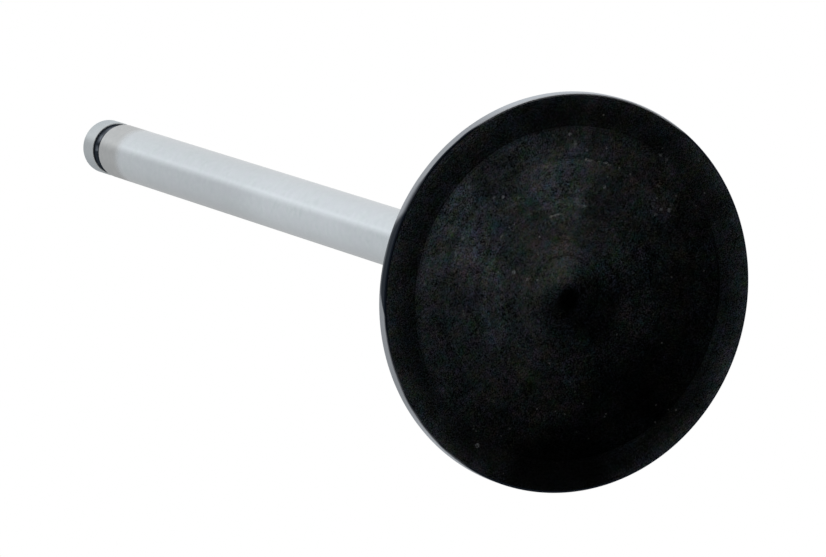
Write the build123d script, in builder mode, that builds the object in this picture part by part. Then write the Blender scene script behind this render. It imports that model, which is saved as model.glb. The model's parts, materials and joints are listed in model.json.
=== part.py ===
"""Poppet valve of a four-valve petrol engine, standing on its head.

The whole valve is one piece of valve steel. It is forged with a heavy head,
turned all over about one axis and then ground where it runs and where it seals.
So the solid is one section spun about +Z, from which two further turned cuts are
taken: the dish of the combustion face and the groove for the spring keepers.

Millimetres and degrees. Z = 0 is the flat rim of the combustion face, which the
valve stands on, and the stem rises along +Z. Every angle of a conical face is
measured from the plane of that rim.
"""
import os
from math import radians, tan

from build123d import *

# ---------------------------------------------------------------- sizes
# Whole valve
overall_length = 110.0          # flat rim to the end of the tip

# Head
head_diameter = 36.0
margin_thickness = 1.15         # ground cylinder between the face and the seat
rim_edge_radius = 0.2           # corner of face and margin, rubbed round

# Combustion face: a flat rim round a shallow conical dish
dish_diameter = 30.1            # mouth of the dish
dish_angle = 4.8                # how steeply the dish falls towards its centre
dimple_diameter = 2.0           # rounded bottom that the tool's nose leaves
dimple_depth = 0.05             # from the dimple's own edge to its bottom

# Sealing side
seat_angle = 45.0
seat_width = 2.2                # along the ground face
back_cut_angle = 30.0
back_cut_width = 1.1            # along the face
underhead_angle = 16.0
neck_radius = 14.0              # sweep of the underhead into the stem

# Stem
stem_diameter = 5.5

# Tip: hardened land, keeper groove, chamfered end
tip_land_length = 2.85          # end of the tip to the groove
tip_chamfer = 0.35
groove_width = 1.7
groove_depth = 0.55
groove_root_radius = 0.4
groove_lip_radius = 0.08

# ---------------------------------------------------------------- worked-out places
head_radius = head_diameter / 2
stem_radius = stem_diameter / 2
dish_radius = dish_diameter / 2
dimple_radius = dimple_diameter / 2
dimple_edge_height = (dish_radius - dimple_radius) * tan(radians(dish_angle))
groove_top = overall_length - tip_land_length
groove_middle = groove_top - groove_width / 2

# ---------------------------------------------------------------- the valve
with BuildPart() as engine_valve:

    # The blank: half of its section, from the face up round the head to the tip
    with BuildSketch(Plane.XZ) as blank:
        with BuildLine():
            face = Line((0, 0), (head_radius, 0))
            margin = Line(face @ 1, (head_radius, margin_thickness))
            seat = PolarLine(margin @ 1, seat_width, 180 - seat_angle)
            back_cut = PolarLine(seat @ 1, back_cut_width, 180 - back_cut_angle)
            cone_foot = back_cut @ 1
            cone_rise = (cone_foot.X - stem_radius) * tan(radians(underhead_angle))
            neck_corner = (stem_radius, cone_foot.Y + cone_rise)
            Polyline(
                cone_foot,
                neck_corner,
                (stem_radius, overall_length),
                (0, overall_length),
                (0, 0),
            )
        make_face()
        fillet(blank.vertices().sort_by_distance(neck_corner)[0], neck_radius)
    revolve(axis=Axis.Z)

    # The dish, with the dimple at its centre
    with BuildSketch(Plane.XZ) as dish:
        with BuildLine():
            mouth = Line((0, 0), (dish_radius, 0))
            fall = Line(mouth @ 1, (dimple_radius, dimple_edge_height))
            dimple_bottom = (0, dimple_edge_height + dimple_depth)
            TangentArc(dimple_bottom, fall @ 1, tangent=(1, 0))
            Line(dimple_bottom, (0, 0))
        make_face()
    revolve(axis=Axis.Z, mode=Mode.SUBTRACT)

    # The keeper groove, with a rounded root
    with BuildSketch(Plane.XZ) as groove:
        with Locations((stem_radius, groove_middle)):
            Rectangle(2 * groove_depth, groove_width)
        fillet(groove.vertices(), groove_root_radius)
    revolve(axis=Axis.Z, mode=Mode.SUBTRACT)

    # Sharp corners taken off: the groove's lips, the tip and the rim
    stem_circles = engine_valve.edges().filter_by(GeomType.CIRCLE)
    groove_lips = stem_circles.filter_by_position(
        Axis.Z, groove_top - groove_width, groove_top
    ).filter_by(lambda circle: abs(circle.radius - stem_radius) < groove_depth / 2)
    fillet(groove_lips, groove_lip_radius)
    tip_circle = engine_valve.edges().group_by(Axis.Z)[-1]
    chamfer(tip_circle, tip_chamfer)
    rim_circle = engine_valve.edges().group_by(Axis.Z)[0].sort_by(SortBy.RADIUS)[-1]
    fillet(rim_circle, rim_edge_radius)

engine_valve.part.label = "engine_valve"

# ---------------------------------------------------------------- export
os.makedirs("parts", exist_ok=True)
export_step(engine_valve.part, "parts/engine_valve.step")

# The straight stem between the neck and the groove, which runs in the guide
stem_faces = engine_valve.faces().filter_by(GeomType.CYLINDER)
guide_length = max(wall.bounding_box().size.Z for wall in stem_faces)
print(f"straight stem {guide_length:.3f} mm, volume {engine_valve.part.volume:.1f} mm3")
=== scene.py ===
import json
import math

import bpy
from mathutils import Matrix, Vector


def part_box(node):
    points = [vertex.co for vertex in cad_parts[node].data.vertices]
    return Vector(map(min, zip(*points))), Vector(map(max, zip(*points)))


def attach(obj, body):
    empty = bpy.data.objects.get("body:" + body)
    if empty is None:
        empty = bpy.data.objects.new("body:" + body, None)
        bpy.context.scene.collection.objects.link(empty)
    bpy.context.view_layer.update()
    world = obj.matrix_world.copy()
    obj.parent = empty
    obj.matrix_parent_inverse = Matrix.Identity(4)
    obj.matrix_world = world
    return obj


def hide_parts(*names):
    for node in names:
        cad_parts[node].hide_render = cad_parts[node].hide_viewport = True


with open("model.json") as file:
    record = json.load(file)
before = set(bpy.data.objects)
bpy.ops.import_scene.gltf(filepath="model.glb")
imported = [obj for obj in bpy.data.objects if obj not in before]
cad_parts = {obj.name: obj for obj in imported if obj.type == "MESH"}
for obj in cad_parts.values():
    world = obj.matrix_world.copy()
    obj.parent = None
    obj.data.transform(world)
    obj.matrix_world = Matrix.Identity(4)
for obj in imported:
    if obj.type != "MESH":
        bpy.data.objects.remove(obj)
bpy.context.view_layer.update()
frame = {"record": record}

# ------------------------------------------------------------------ the turned valve
# The valve is one forging of valve steel, turned all over in a lathe and then ground
# on its stem and round its head. So its mesh is one section, corner by corner from the
# middle of the face to the end of the tip, spun about the stem's axis.

MM = 0.001
low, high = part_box("engine_valve")
mounts = {mount["name"]: mount for mount in frame["record"]["mounts"]}
head_radius = (high.x - low.x) / 2
overall_length = high.z
stem_radius = mounts["stem"]["dims"]["r_mm"] * MM

rim_edge_radius = 0.2 * MM
margin_thickness = 1.15 * MM
dish_radius = 15.05 * MM
dish_fall = math.radians(4.8)
dish_edge_radius = 0.6 * MM
dimple_radius = 1.0 * MM
dimple_depth = 0.05 * MM
seat_slope = math.radians(45)
seat_width = 2.2 * MM
back_cut_slope = math.radians(30)
back_cut_width = 1.1 * MM
underhead_slope = math.radians(16)
neck_radius = 14 * MM
plating_start = 27 * MM
tip_land_length = 2.85 * MM
tip_chamfer = 0.35 * MM
groove_width = 1.7 * MM
groove_depth = 0.55 * MM
groove_root_radius = 0.4 * MM
groove_lip_radius = 0.08 * MM
broken_edge = 0.05 * MM  # what a deburring stone leaves on the other corners

steps_round = 256
steps_in_corner = 14
seam = 1e-7  # points of the spun skin that lie closer than this are one


class Value:
    """What comes out of a node's socket. Arithmetic on it adds Math nodes to its tree."""

    def __init__(self, nodes, socket):
        self.nodes, self.socket = nodes, socket

    def maths(self, operation, *inputs):
        return self.nodes.add("ShaderNodeMath", {"operation": operation}, dict(enumerate(inputs)))

    def __add__(self, other):
        if self.socket.type == "VECTOR":
            return self.nodes.vector_maths("ADD", self, other)
        return self.maths("ADD", self, other)

    def __sub__(self, other):
        return self.maths("SUBTRACT", self, other)

    def __rsub__(self, other):
        return self.maths("SUBTRACT", other, self)

    def __mul__(self, other):
        return self.maths("MULTIPLY", self, other)

    def __truediv__(self, other):
        return self.maths("DIVIDE", self, other)

    def __pow__(self, power):
        return self.maths("POWER", self, power)

    __radd__ = __add__
    __rmul__ = __mul__

    def above(self, limit):
        return self.maths("GREATER_THAN", self, limit)

    def below(self, limit):
        return self.maths("LESS_THAN", self, limit)

    def rise(self, start, end, low=0.0, high=1.0):
        """A smooth climb from low at start to high at end, flat on both sides."""
        settings = {"interpolation_type": "SMOOTHSTEP"}
        inputs = {0: self, 1: start, 2: end, 3: low, 4: high}
        return self.nodes.add("ShaderNodeMapRange", settings, inputs)

    def near(self, middle, width):
        """1 at the middle, falling smoothly to 0 at that distance on both sides."""
        distance = self.maths("ABSOLUTE", self - middle)
        return distance.rise(0, width, 1.0, 0.0)


class Nodes:
    """A node tree with one way of adding a node to it."""

    def __init__(self, tree):
        self.tree = tree

    def add(self, kind, settings=(), inputs=(), output=0):
        """Adds a node, sets it, feeds its inputs with numbers or Values, and gives one output.

        The setting "choices" is how many items an index switch picks from.
        """
        node = self.tree.nodes.new(kind)
        for name, setting in dict(settings).items():
            if name == "choices":
                while len(node.index_switch_items) < setting:
                    node.index_switch_items.new()
            else:
                setattr(node, name, setting)
        for name, value in dict(inputs).items():
            if isinstance(value, Value):
                self.tree.links.new(value.socket, node.inputs[name])
            else:
                node.inputs[name].default_value = value
        return Value(self, node.outputs[output])

    def vector(self, x, y, z):
        return self.add("ShaderNodeCombineXYZ", {}, {0: x, 1: y, 2: z})

    def vector_maths(self, operation, a, b, output=0):
        return self.add("ShaderNodeVectorMath", {"operation": operation}, {0: a, 1: b}, output)

    def dot(self, a, b):
        return self.vector_maths("DOT_PRODUCT", a, b, 1)

    def round_places(self, place):
        """Distance from the valve's axis and height above its rim."""
        split = self.add("ShaderNodeSeparateXYZ", {}, {0: place}).socket.node
        x, y, height = (Value(self, socket) for socket in split.outputs)
        return (x * x + y * y) ** 0.5, height

    def pick(self, kind, values):
        """The value whose number in the list is the point's own number."""
        index = self.add("GeometryNodeInputIndex")
        choices = {number + 1: value for number, value in enumerate(values)}
        settings = {"data_type": kind, "choices": len(values)}
        return self.add("GeometryNodeIndexSwitch", settings, {0: index, **choices})


def lathe_tree(sizes, finishes):
    """Geometry nodes that spin the valve's section and give each zone its finish."""
    tree = bpy.data.node_groups.new("valve_lathe", "GeometryNodeTree")
    tree.interface.new_socket("Valve", in_out="OUTPUT", socket_type="NodeSocketGeometry")
    for name in sizes:
        tree.interface.new_socket(name, in_out="INPUT", socket_type="NodeSocketFloat")
    nodes = Nodes(tree)
    entry = tree.nodes.new("NodeGroupInput")
    size = {name: Value(nodes, entry.outputs[name]) for name in sizes}

    head, stem, length = size["Head Radius"], size["Stem Radius"], size["Overall Length"]
    dimple_edge = (size["Dish Radius"] - dimple_radius) * math.tan(dish_fall)
    dimple_floor = dimple_edge + size["Dimple Depth"]
    seat_end = head - size["Seat Width"] * math.cos(seat_slope)
    seat_top = size["Margin"] + size["Seat Width"] * math.sin(seat_slope)
    back_cut_end = seat_end - size["Back Cut Width"] * math.cos(back_cut_slope)
    back_cut_top = seat_top + size["Back Cut Width"] * math.sin(back_cut_slope)
    neck_height = back_cut_top + (back_cut_end - stem) * math.tan(underhead_slope)
    groove_top = length - size["Tip Land"]
    groove_foot = groove_top - size["Groove Width"]
    groove_floor = stem - size["Groove Depth"]

    # the dimple is a shallow bowl, so one large fillet runs from its middle to its edge
    bowl_radius = (dimple_radius**2 + dimple_depth**2) / (2 * dimple_depth)
    bowl_corner = bowl_radius * math.tan(math.asin(dimple_radius / bowl_radius) / 2)

    # distance from the axis, height above the rim and the corner's own radius
    corners = [
        (0.0, dimple_floor, 0.0),
        (bowl_corner, dimple_floor, bowl_radius),
        (dimple_radius, dimple_edge, 0.0),
        (size["Dish Radius"], 0.0, dish_edge_radius),
        (head, 0.0, rim_edge_radius),
        (head, size["Margin"], broken_edge),
        (seat_end, seat_top, broken_edge),
        (back_cut_end, back_cut_top, broken_edge),
        (stem, neck_height, size["Neck Radius"]),
        (stem, size["Plating Start"], 0.0),
        (stem, groove_foot, groove_lip_radius),
        (groove_floor, groove_foot, groove_root_radius),
        (groove_floor, groove_top, groove_root_radius),
        (stem, groove_top, groove_lip_radius),
        (stem, length - tip_chamfer, broken_edge),
        (stem - tip_chamfer, length, broken_edge),
        (0.0, length, 0.0),
    ]
    # the section hangs from a hoop of the head's radius, so it is measured from there
    places = [nodes.vector(radius - head, 0.0 - height, 0.0) for radius, height, _ in corners]
    points = nodes.pick("VECTOR", places)
    blends = nodes.pick("FLOAT", [blend for _, _, blend in corners])

    section = nodes.add("GeometryNodeMeshLine", {}, {"Count": len(corners)})
    section = nodes.add("GeometryNodeSetPosition", {}, {"Geometry": section, "Position": points})
    section = nodes.add("GeometryNodeMeshToCurve", {}, {0: section})
    rounding = {"Curve": section, "Count": steps_in_corner, "Radius": blends, "Limit Radius": True}
    section = nodes.add("GeometryNodeFilletCurve", {"mode": "POLY"}, rounding)
    hoop_sizes = {"Resolution": steps_round, "Radius": head}
    hoop = nodes.add("GeometryNodeCurvePrimitiveCircle", {}, hoop_sizes)
    skin = nodes.add("GeometryNodeCurveToMesh", {}, {"Curve": hoop, "Profile Curve": section})
    skin = nodes.add("GeometryNodeMergeByDistance", {}, {"Geometry": skin, "Distance": seam})
    # spun this way round the section leaves its faces pointing inwards
    skin = nodes.add("GeometryNodeFlipFaces", {}, {0: skin})
    skin = nodes.add("GeometryNodeSetShadeSmooth", {}, {0: skin})

    radius, height = nodes.round_places(nodes.add("GeometryNodeInputPosition"))
    zones = {
        "face": height.below(dimple_floor) * radius.below(head - rim_edge_radius),
        "underhead": height.above(back_cut_top) * height.below(size["Plating Start"]),
        "stem": height.above(size["Plating Start"]) * height.below(groove_foot),
        "groove": height.above(groove_foot)
        * height.below(groove_top)
        * radius.below(stem - groove_lip_radius / 2),
    }
    skin = nodes.add("GeometryNodeRealizeInstances", {}, {0: skin})
    skin = nodes.add("GeometryNodeSetMaterial", {}, {"Geometry": skin, "Material": finishes["ground"]})
    for zone, inside in zones.items():
        painted = {"Geometry": skin, "Selection": inside, "Material": finishes[zone]}
        skin = nodes.add("GeometryNodeSetMaterial", {}, painted)
    leave = tree.nodes.new("NodeGroupOutput")
    tree.links.new(skin.socket, leave.inputs[0])
    return tree


# ------------------------------------------------------------------ the black oxide
# The face, the underhead and the keeper groove keep the thin black oxide of the heat
# treatment. On the face it shows the tool's rings and is rubbed, nicked and stained, and it
# carries painted shade and light that follow how the dish and its rim face the light.
# On one side of the groove's floor a lighter blue-grey is painted light, where the floor catches the
# light.

PER_MM = 1 / MM
bare_rub = (0.32, 0.32, 0.31, 1)
bare_nick = (0.30, 0.32, 0.335, 1)
groove_dark = (0.012, 0.018, 0.026, 1)
groove_light = (0.030, 0.036, 0.045, 1)
# the painted light on the groove's floor
groove_lit_floor = (0.20, 0.225, 0.26, 1)
other_cloud = 0.05  # a step, in metres, to noise that is unlike the first


def new_finish(name):
    """An empty material with its nodes, its shader, and where a point of it lies on the valve.

    That is its place, its distance from the axis and its height above the rim, both in mm.
    """
    material = bpy.data.materials.new(name)
    material.use_nodes = True
    nodes = Nodes(material.node_tree)
    shader = material.node_tree.nodes["Principled BSDF"]
    place = nodes.add("ShaderNodeTexCoord", {}, {}, "Object")
    radius, height = nodes.round_places(place)
    return material, nodes, shader, place, radius * PER_MM, height * PER_MM


def noise(nodes, place, size, detail=2.0, roughness=0.5):
    """Soft random patches of about that size, in metres, from 0 to 1."""
    inputs = {"Vector": place, "Scale": 1 / size, "Detail": detail, "Roughness": roughness}
    return nodes.add("ShaderNodeTexNoise", {}, inputs)


def cutting_marks(nodes, along, pitch, detail=3.0):
    """Random ridges across a line, as a tool or a grinding wheel leaves them, from 0 to 1."""
    inputs = {"W": along, "Scale": 1 / pitch, "Detail": detail, "Roughness": 0.6}
    return nodes.add("ShaderNodeTexNoise", {"noise_dimensions": "1D"}, inputs)


def blend_colours(nodes, share, first, second):
    settings = {"data_type": "RGBA", "clamp_factor": True}
    return nodes.add("ShaderNodeMix", settings, {0: share, 6: first, 7: second}, 2)


def wire(nodes, shader, **inputs):
    """Feeds the shader's sockets, whose names are written here with underscores."""
    for name, value in inputs.items():
        socket = shader.inputs[name.replace("_", " ")]
        if isinstance(value, Value):
            nodes.tree.links.new(value.socket, socket)
        else:
            socket.default_value = value


def bump(nodes, relief, depth):
    """Marks from 0 to 1 cut to that depth, in metres."""
    return nodes.add("ShaderNodeBump", {}, {"Strength": 1.0, "Distance": depth, "Height": relief})


def around(nodes, place, radius, middle, start, end, low=0.0, high=1.0):
    """Climbs from low at the start angle off a direction to high at the nearer end angle.

    Angles go round the axis, in degrees.
    """
    a = math.radians(middle)
    heading = nodes.dot(place, (math.cos(a), math.sin(a), 0)) / (radius * MM)
    return heading.rise(math.cos(math.radians(start)), math.cos(math.radians(end)), low, high)


def spot(nodes, place, distance, middle, size):
    """1 at a place that far from the axis in that direction, falling to 0 at its size.

    Seen along the axis, in mm and degrees.
    """
    a = math.radians(middle)
    spot_place = (distance * MM * math.cos(a), distance * MM * math.sin(a), 0)
    level = nodes.vector_maths("MULTIPLY", place, (1, 1, 0))
    off = nodes.vector_maths("DISTANCE", level, spot_place, 1)
    return (off * PER_MM).rise(0.5 * size, size, 1.0, 0.0)


def dust_specks(nodes, place, spacing, size):
    """Small round specks scattered through space, 1 at their middles. In mm."""
    off = nodes.add("ShaderNodeTexVoronoi", {}, {"Vector": place, "Scale": 1 / (spacing * MM)})
    return off.rise(0.4 * size / spacing, size / spacing, 1.0, 0.0)


def black_finish(name, along_radius, dullness, rings=(), rubs=(), nicks=(), stains_and_shading=()):
    """Black oxide over turned steel.

    The tool's marks run round, one beside another along the radius or up the height.
    """
    material, nodes, shader, place, radius, height = new_finish(name)
    clouds = noise(nodes, place, 9 * MM, 2.0).rise(0.35, 0.65)
    patches = noise(nodes, place, 1.7 * MM, 3.0, 0.6)
    grain = noise(nodes, place, 0.35 * MM, 2.0, 0.7)
    speckle = noise(nodes, place, 0.13 * MM, 1.0, 0.6)
    marks = cutting_marks(nodes, radius if along_radius else height, pitch=0.22)

    # the oxide's hue wanders, more towards blue than towards red
    red_place = place + nodes.vector(other_cloud, 0, 0)
    blue_place = place + nodes.vector(0, other_cloud, 0)
    red = noise(nodes, red_place, 1.3 * MM, 5.0, 0.9).rise(0.15, 0.85, 0.1, 1.9)
    blue = noise(nodes, blue_place, 1.3 * MM, 5.0, 0.9).rise(0.15, 0.85, 0.1, 1.9)
    blue = 0.4 * red + 0.85 * blue - 0.25

    # its tone is 1 in the middle of its range, and each number is how much that mark shows
    tone = 2.0 * patches + 2.2 * grain + 4.2 * speckle + 0.4 * marks + 0.3 * clouds - 3.55
    tone = tone.maths("MAXIMUM", tone, 0.05)
    for ring_radius, width, lift in rings:
        tone = tone * (1 + lift * radius.near(ring_radius, width))
    # thicker oxide, painted shade and painted light: each patch darkens the tone by its share, and
    # lightens it where the share is below 0
    for distance, middle, size, share in stains_and_shading:
        tone = tone * (1 - share * spot(nodes, place, distance, middle, size))
    colour = nodes.vector(
        tone * (0.030 + 0.005 * clouds) * red,
        tone * 0.039,
        tone * (0.044 - 0.005 * clouds) * blue,
    )
    for rub_radius, middle, half_angle, width, share in rubs:
        reach = around(nodes, place, radius, middle, half_angle, half_angle / 2)
        rubbed = radius.near(rub_radius, width) * reach * grain.rise(0.42, 0.56)
        colour = blend_colours(nodes, rubbed * share, colour, bare_rub)
    for distance, middle, size, share in nicks:
        nicked = spot(nodes, place, distance, middle, size) * grain.rise(0.35, 0.55)
        colour = blend_colours(nodes, nicked * share, colour, bare_nick)
    dusty = dust_specks(nodes, place, 1.0, 0.13) * clouds
    colour = blend_colours(nodes, 0.35 * dusty, colour, bare_rub)

    roughness = dullness + 0.05 * patches + 0.05 * grain
    relief = marks * 0.3 + grain * 0.3 + speckle * 0.4
    metal = speckle.rise(0.3, 0.8, 1.0, 0.72) - 0.3 * dusty
    wire(nodes, shader, Base_Color=colour, Roughness=roughness, Metallic=metal)
    wire(nodes, shader, Normal=bump(nodes, relief, 0.010 * MM))
    return material


def groove_finish(name, floor_radius):
    """Black oxide in the keeper groove, with painted light in blue-grey on its floor along one side.
    """
    material, nodes, shader, place, radius, _ = new_finish(name)
    cloud = noise(nodes, place, 0.9 * MM, 3.0, 0.6)
    grain = noise(nodes, place, 0.25 * MM, 2.0, 0.6)
    # painted light: the floor is lighter on the side where it catches the light
    side = around(nodes, place, radius, -58, 66, 50)
    side = side + 0.8 * around(nodes, place, radius, -133, 9, 4)
    on_floor = radius.rise(floor_radius + 0.30, floor_radius + 0.05)
    lit_floor = side * on_floor * (0.5 + cloud.rise(0.3, 0.7))
    colour = blend_colours(nodes, grain, groove_dark, groove_light)
    colour = blend_colours(nodes, 0.7 * lit_floor, colour, groove_lit_floor)
    relief = 0.5 * cloud + 0.5 * grain
    wire(nodes, shader, Base_Color=colour, Roughness=0.3 + 0.1 * grain, Metallic=1.0)
    wire(nodes, shader, Normal=bump(nodes, relief, 0.008 * MM))
    return material


# the face's turned rings: distance from the axis and width in mm, and how much lighter they are
face_rings = [
    # this first, dark ring is painted shade: the shade of a small step in the turning
    (3.33, 0.17, -0.55),
    (4.1, 0.40, 0.15),
    (5.4, 0.50, -0.15),
    (6.8, 0.45, 0.15),
    (7.45, 0.25, -0.15),
    (8.05, 0.40, 0.18),
    (8.8, 0.30, -0.15),
    (11.75, 0.35, 0.18),
    (12.35, 0.35, -0.20),
    (13.1, 0.35, 0.12),
    (9.5, 3.0, 0.15),
    (15.0, 0.30, -0.32),
    (15.7, 0.90, -0.18),
    (18.0, 1.6, 1.0),
]
# places where handling has rubbed the black off the face: distance from the axis in mm,
# direction and half-angle in degrees, width in mm, and how bare it is
face_rubs = [
    (12.04, -40.1, 2.0, 0.19, 0.9),
    (12.05, -35.3, 1.6, 0.18, 0.7),
    (12.05, -30.9, 2.2, 0.18, 0.9),
    (7.1, -57.5, 6.5, 0.20, 0.5),
    (4.0, -121, 4.5, 0.15, 0.7),
    (8.3, -43, 2.6, 0.30, 0.3),
    (7.9, -39, 4.5, 0.22, 0.33),
    (12.8, -4.5, 2.0, 0.15, 0.3),
    (8.4, -98, 2.5, 0.15, 0.3),
]
# small nicks through the black: distance from the axis in mm, direction in degrees, size in
# mm, and how bare they are
face_nicks = [
    (14.29, -49.2, 0.20, 0.85),
    (13.38, -47.0, 0.42, 0.3),
    (10.03, -28.1, 0.20, 0.65),
    (11.03, -84.7, 0.20, 0.5),
    (11.53, -88.4, 0.20, 0.25),
    (5.5, -116.7, 0.24, 0.5),
    (7.1, -121.1, 0.24, 0.3),
    (11.9, -118.8, 0.30, 0.35),
    (11.7, -111.5, 0.20, 0.2),
    (13.0, -106.2, 0.22, 0.25),
    (15.01, -12.6, 0.24, 0.5),
    (15.01, -9.7, 0.24, 0.3),
    (15.85, 165.0, 0.26, 0.9),
    (12.19, 6.0, 0.24, 0.95),
    (11.56, 3.6, 0.24, 0.9),
    (12.1, 2.9, 0.20, 0.2),
    (12.65, 4.8, 0.20, 0.4),
    (11.14, -0.2, 0.20, 0.4),
    (10.91, 3.8, 0.20, 0.7),
    (12.4, 0.3, 0.20, 0.25),
    (10.23, -146.8, 0.22, 0.2),
]
# patches where the oxide is thicker and darker, and patches of painted shade and light that
# follow how the dish and its rim face the light, such as the dark spot at the middle and the
# dark lower edge of the rim: distance from the axis in mm, direction in degrees, size in mm
# and how much darker
face_stains_and_shading = [
    (0.9, 95, 1.35, 0.85),
    (1.0, 160, 2.4, 0.35),
    (3.2, 70, 3.5, 0.4),
    (3.5, -5, 4.5, -0.5),
    (6.3, 145, 4.5, -0.4),
    (10.0, -128, 4.0, -0.15),
    (13.0, 80, 6.0, 0.60),
    (13.2, 106, 6.5, 0.60),
    (12.5, 45, 4.5, 0.4),
    (16.0, 160, 5.5, 0.4),
    (17.8, 134, 8.0, 0.90),
    (16.5, -25, 7.0, 0.40),
    (17.3, -55, 4.5, 0.45),
    (12.5, -155, 6.0, 0.25),
    (13.0, 170, 5.0, 0.25),
    (10.0, -50, 4.0, -0.50),
    (13.3, -28, 3.0, -0.30),
    (9.0, -25, 2.8, 0.35),
    (5.3, -22, 2.2, 0.35),
    (6.8, 20, 2.6, -0.45),
    (7.0, 58, 2.6, -0.40),
    (11.9, 3.5, 1.9, -0.75),
    (13.5, 12, 4.5, 0.40),
    (9.4, -113, 3.5, -0.30),
    (10.2, -134, 3.0, 0.30),
    (13.8, -103, 3.0, -0.40),
    (13.1, -82, 3.2, 0.40),
    (7.0, -92, 4.0, 0.30),
    (7.6, -154, 3.0, -0.25),
    (8.9, 145, 2.6, 0.40),
    (17.2, 70, 3.6, -0.50),
]
face_black = black_finish(
    "black_face",
    along_radius=True,
    dullness=0.15,
    rings=face_rings,
    rubs=face_rubs,
    nicks=face_nicks,
    stains_and_shading=face_stains_and_shading,
)
underhead_black = black_finish("black_underhead", along_radius=False, dullness=0.30)
groove_black = groove_finish("black_groove", (stem_radius - groove_depth) / MM)

# ------------------------------------------------------------------ the ground steel
# The margin, the seat, the back cut and the tip are bare steel off the grinding wheel.
# Along one side of the margin a dark band is painted: a painted dark reflection, laid on as a film of
# oxide.

# the colour of the painted shade on the stem and the ground steel
painted_shade = (0.02, 0.02, 0.02, 1)
steel_dark = (0.44, 0.475, 0.48, 1)
steel_light = (0.59, 0.61, 0.625, 1)
margin_dark = (0.465, 0.485, 0.515, 1)
margin_light = (0.56, 0.575, 0.60, 1)
# the black of the oxide near the face and of the painted dark reflection on the margin
oxide_and_dark_reflection = (0.010, 0.014, 0.022, 1)
steel_glance = (0.90, 0.955, 1.0, 1)  # the tint of what it mirrors at a low angle


def shaded_side(nodes, place, radius):
    """1 on the side of the stem that gets painted shade, 0 round the rest of it."""
    return around(nodes, place, radius, -165, 62, 38)


def ground_finish(name, margin_top):
    """Bare steel with the wheel's fine marks. Up to margin_top, in mm, some oxide is left on, and a
    painted dark reflection lies along one side of the margin.
    """
    material, nodes, shader, place, radius, height = new_finish(name)
    marks = cutting_marks(nodes, radius * 0.8 + height, pitch=0.07)
    cloud = noise(nodes, place, 3.0 * MM, 2.0)
    grain = noise(nodes, place, 0.2 * MM, 2.0)
    mix = cloud * 0.6 + grain * 0.6 - 0.1
    margin = height.below(margin_top)
    colour = blend_colours(nodes, mix, steel_dark, steel_light)
    blued = blend_colours(nodes, mix, margin_dark, margin_light)
    colour = blend_colours(nodes, margin, colour, blued)

    # painted dark reflection along one side of the margin, as a thin film of oxide, thickest along its
    # middle
    dark_reflection_wide = around(nodes, place, radius, -124, 60, 42, 0.0, 0.38)
    dark_reflection_band = dark_reflection_wide + around(nodes, place, radius, -126, 13, 7, 0.0, 0.37)

    # the full oxide creeps up from the face this far, in mm; on the side of the painted dark
    # reflection it reaches much higher and fades out over a longer way at one end
    dark_reach = 0.02 + 0.20 * cloud + 0.72 * around(nodes, place, radius, -127, 15.5, 8)
    dark_reach = dark_reach - 0.25 * around(nodes, place, radius, -45, 40, 25)
    dark_reach = dark_reach - 0.10 * around(nodes, place, radius, -170, 35, 20)
    fade = around(nodes, place, radius, -112, 13, 6, 0.15, 0.70)
    dark_edge = ((height - dark_reach) / fade).rise(-0.3, 1.0, 1.0, 0.0)
    # oxide near the face, and the painted dark reflection along one side of the margin
    oxide_and_dark_reflection_mask = margin * (dark_edge + (1 - dark_edge) * dark_reflection_band)
    colour = blend_colours(nodes, oxide_and_dark_reflection_mask, colour, oxide_and_dark_reflection)

    # painted shade on the shaded side of the seat, the back cut and the tip
    shaded = (1 - margin) * shaded_side(nodes, place, radius)
    colour = blend_colours(nodes, 0.16 * shaded, colour, painted_shade)
    roughness = 0.25 + 0.08 * grain + 0.06 * marks + 0.25 * oxide_and_dark_reflection_mask
    wire(nodes, shader, Base_Color=colour, Roughness=roughness, Metallic=1.0)
    wire(nodes, shader, Specular_Tint=steel_glance, Normal=bump(nodes, marks, 0.0012 * MM))
    return material


ground_steel = ground_finish("ground_steel", margin_thickness / MM)

# ------------------------------------------------------------------ the plated stem
# The stem is ground, hardened at its end and then flash-plated with chromium along the
# length that runs in the guide. Above the plating the ground steel is bare.

plating_end = 100.8  # height in mm
bare_dark = (0.42, 0.445, 0.455, 1)
bare_light = (0.58, 0.595, 0.60, 1)
chromium_dark = (0.54, 0.605, 0.635, 1)
chromium_light = (0.67, 0.73, 0.76, 1)
chromium_blue = (0.635, 0.66, 0.725, 1)


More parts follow.
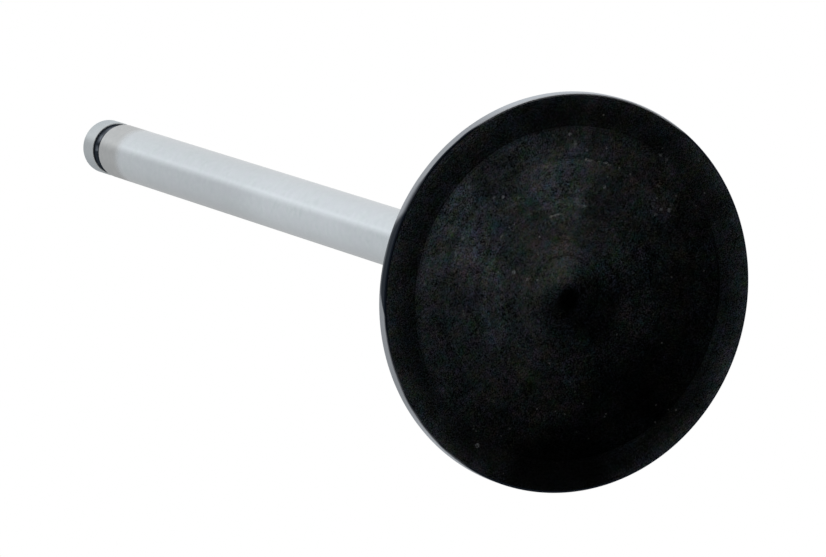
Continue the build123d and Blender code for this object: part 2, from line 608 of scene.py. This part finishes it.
def stem_finish(name):
    """Chromium up to where the plating ends, and bare steel from there to the groove."""
    material, nodes, shader, place, radius, height = new_finish(name)
    marks = cutting_marks(nodes, height, pitch=0.12)
    cloud = noise(nodes, place, 12.0 * MM, 2.0)
    grain = noise(nodes, place, 0.6 * MM, 3.0, 0.6)
    edge = height + cloud * 0.5
    plated = edge.rise(plating_end + 1.2, plating_end - 1.1)
    mix = cloud * 0.4 + grain * 1.1 + marks * 0.6 - 0.55
    tint_place = place + nodes.vector(other_cloud, 0, 0)
    tint = noise(nodes, tint_place, 1.6 * MM, 4.0, 0.7).rise(0.3, 0.7)
    steel = blend_colours(nodes, mix, bare_dark, bare_light)
    chromium = blend_colours(nodes, mix, chromium_dark, chromium_light)
    chromium = blend_colours(nodes, 0.5 * tint, chromium, chromium_blue)
    colour = blend_colours(nodes, plated, steel, chromium)

    # painted shade: the upper stem darker, and on the shaded side also low down and above the plating
    shaded = shaded_side(nodes, place, radius)
    shade = height.rise(61, 72) * (0.05 + 0.09 * shaded) + height.rise(48, 38) * 0.06 * shaded
    shade = shade + (1 - plated) * 0.06 * shaded
    colour = blend_colours(nodes, shade, colour, painted_shade)
    roughness = 0.28 - 0.11 * plated + 0.04 * grain + 0.03 * marks
    wire(nodes, shader, Base_Color=colour, Roughness=roughness, Metallic=1.0)
    wire(nodes, shader, Normal=bump(nodes, marks, 0.0008 * MM))
    return material


plated_stem = stem_finish("plated_stem")

# ------------------------------------------------------------------ the finished valve
# The lathe tree spins the section and gives each zone its finish. Its result becomes one
# plain mesh, because the valve is one piece.

finishes = {
    "face": face_black,
    "underhead": underhead_black,
    "groove": groove_black,
    "ground": ground_steel,
    "stem": plated_stem,
}
sizes = {
    "Head Radius": head_radius,
    "Stem Radius": stem_radius,
    "Overall Length": overall_length,
    "Dish Radius": dish_radius,
    "Dimple Depth": dimple_depth,
    "Margin": margin_thickness,
    "Seat Width": seat_width,
    "Back Cut Width": back_cut_width,
    "Neck Radius": neck_radius,
    "Plating Start": plating_start,
    "Tip Land": tip_land_length,
    "Groove Width": groove_width,
    "Groove Depth": groove_depth,
}
blank = bpy.data.objects.new("valve_blank", bpy.data.meshes.new("valve_blank"))
bpy.context.collection.objects.link(blank)
spin = blank.modifiers.new("lathe", "NODES")
spin.node_group = lathe_tree(sizes, finishes)
for item in spin.node_group.interface.items_tree:
    if item.in_out == "INPUT":
        spin[item.identifier] = sizes[item.name]
weighted = blank.modifiers.new("even_shading", "WEIGHTED_NORMAL")
weighted.keep_sharp = False
turned = bpy.data.meshes.new_from_object(blank.evaluated_get(bpy.context.evaluated_depsgraph_get()))
bpy.data.objects.remove(blank)
valve = bpy.data.objects.new("valve", turned)
bpy.context.collection.objects.link(valve)
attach(valve, "root")
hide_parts("engine_valve")

# ------------------------------------------------------------------ the camera
# It looks at the face from below the surface that the valve stands on, rolled so that
# the stem runs away to the upper left.

camera_azimuth = math.radians(-30)
camera_elevation = math.radians(-62.928)
camera_distance = 620.81 * MM
camera_aim = Vector((-2.672, 1.505, 31.247)) * MM
camera_roll = math.radians(-71.71)
camera_lens = 303.94

flat = math.cos(camera_elevation)
camera_place = camera_distance * Vector(
    (math.sin(camera_azimuth) * flat, -math.cos(camera_azimuth) * flat, math.sin(camera_elevation))
)
to_viewer = (camera_place - camera_aim).normalized()
camera = bpy.data.objects.new("camera", bpy.data.cameras.new("camera"))
camera.data.lens = camera_lens
camera.data.clip_start = 0.05
camera.data.clip_end = 50
level_view = (-to_viewer).to_track_quat("-Z", "Y").to_matrix()
rolled_view = level_view @ Matrix.Rotation(camera_roll, 3, "Z")
camera.matrix_world = Matrix.Translation(camera_place) @ rolled_view.to_4x4()
bpy.context.collection.objects.link(camera)
bpy.context.scene.camera = camera

# ------------------------------------------------------------------ the studio
# A pale table that the valve stands on, in a white room with a wide soft lamp above it.
# The room that the steel mirrors has a dim and a bright side and a dark place low down.
# The table shows from above only and is open under the head, so light reaches the face.

table_radius = 3.0
middle_radius = 0.2
rim_overlap = 0.08 * MM  # how far the table reaches in under the head
opening_radius = head_radius - rim_overlap
pale_grey = (0.86, 0.86, 0.86, 1)

points, faces = [], []
for number in range(steps_round):
    angle = 2 * math.pi * number / steps_round
    for ring in (opening_radius, middle_radius, table_radius):
        points.append((ring * math.cos(angle), ring * math.sin(angle), 0.0))
for number in range(steps_round):
    here, beside = 3 * number, 3 * ((number + 1) % steps_round)
    for ring in (0, 1):
        faces.append((here + ring, here + ring + 1, beside + ring + 1, beside + ring))
table_mesh = bpy.data.meshes.new("table")
table_mesh.from_pydata(points, [], faces)
table = bpy.data.objects.new("table", table_mesh)
bpy.context.collection.objects.link(table)
table_paint = bpy.data.materials.new("table_paint")
table_paint.use_nodes = True
paint = Nodes(table_paint.node_tree)
paint_shader = table_paint.node_tree.nodes["Principled BSDF"]
wire(paint, paint_shader, Base_Color=pale_grey, Roughness=0.9, Specular_IOR_Level=0.0)
clear = paint.add("ShaderNodeBsdfTransparent")
underside = paint.add("ShaderNodeNewGeometry", {}, {}, "Backfacing")
top_side = Value(paint, paint_shader.outputs[0])
one_sided = paint.add("ShaderNodeMixShader", {}, {0: underside, 1: top_side, 2: clear})
paint_output = table_paint.node_tree.nodes["Material Output"]
paint.tree.links.new(one_sided.socket, paint_output.inputs["Surface"])
table_mesh.materials.append(table_paint)

white = (1, 1, 1, 1)
world = bpy.data.worlds.new("room")
bpy.context.scene.world = world
world.use_nodes = True
room = Nodes(world.node_tree)
room_light = world.node_tree.nodes["Background"]

# how far a direction leans to one side, towards the viewer and up, each from -1 to 1
direction = room.add("ShaderNodeTexCoord", {}, {}, "Generated")
toward = Vector((to_viewer.x, to_viewer.y, 0)).normalized()
across = Vector((-toward.y, toward.x, 0))
side = room.dot(direction, tuple(across))
depth = room.dot(direction, tuple(toward))
up = room.dot(direction, (0, 0, 1))

# above the table each side brightens from the far end of the room to the near one, with a
# bright strip beside the line where the sides meet
dim_far, dim_near = 0.53, 0.77
bright_far, bright_near = 0.80, 1.0
strip_lift = 0.13
dim_side = depth.rise(-0.5, 0.5, dim_far, dim_near)
bright_side = depth.rise(-0.5, 0.5, bright_far, bright_near) + strip_lift * side.near(0.12, 0.07)
above = dim_side + (bright_side - dim_side) * side.rise(-0.09, 0.09)

# below it the room is bright, except round this direction, where it is dark
level_below = 1.15
dark_azimuth, dark_elevation = math.radians(-75), math.radians(-62)
dark_centre = Vector(
    (
        math.cos(dark_azimuth) * math.cos(dark_elevation),
        math.sin(dark_azimuth) * math.cos(dark_elevation),
        math.sin(dark_elevation),
    )
)
towards_dark = room.dot(direction, tuple(dark_centre))
below = level_below * towards_dark.rise(0.70, 0.15)
room_level = below + (above - below) * up.rise(-0.25, 0.0)

# the camera itself sees plain white
seen = room.add("ShaderNodeLightPath", {}, {}, "Is Camera Ray")
shown_level = seen + (1 - seen) * room_level
wire(room, room_light, Color=white, Strength=shown_level)

lamp_place = Vector((-0.13, -0.42, 0.90))
lamp_aim = Vector((0, 0, 0.03))
lamp_data = bpy.data.lights.new("soft_lamp", "AREA")
lamp_data.shape = "DISK"
lamp_data.size = 0.35
lamp_data.energy = 2.0
lamp = bpy.data.objects.new("soft_lamp", lamp_data)
lamp.location = lamp_place
lamp.visible_glossy = False
lamp.rotation_euler = (lamp_aim - lamp_place).to_track_quat("-Z", "Y").to_euler()
bpy.context.collection.objects.link(lamp)

scene = bpy.context.scene
scene.view_settings.view_transform = "Standard"
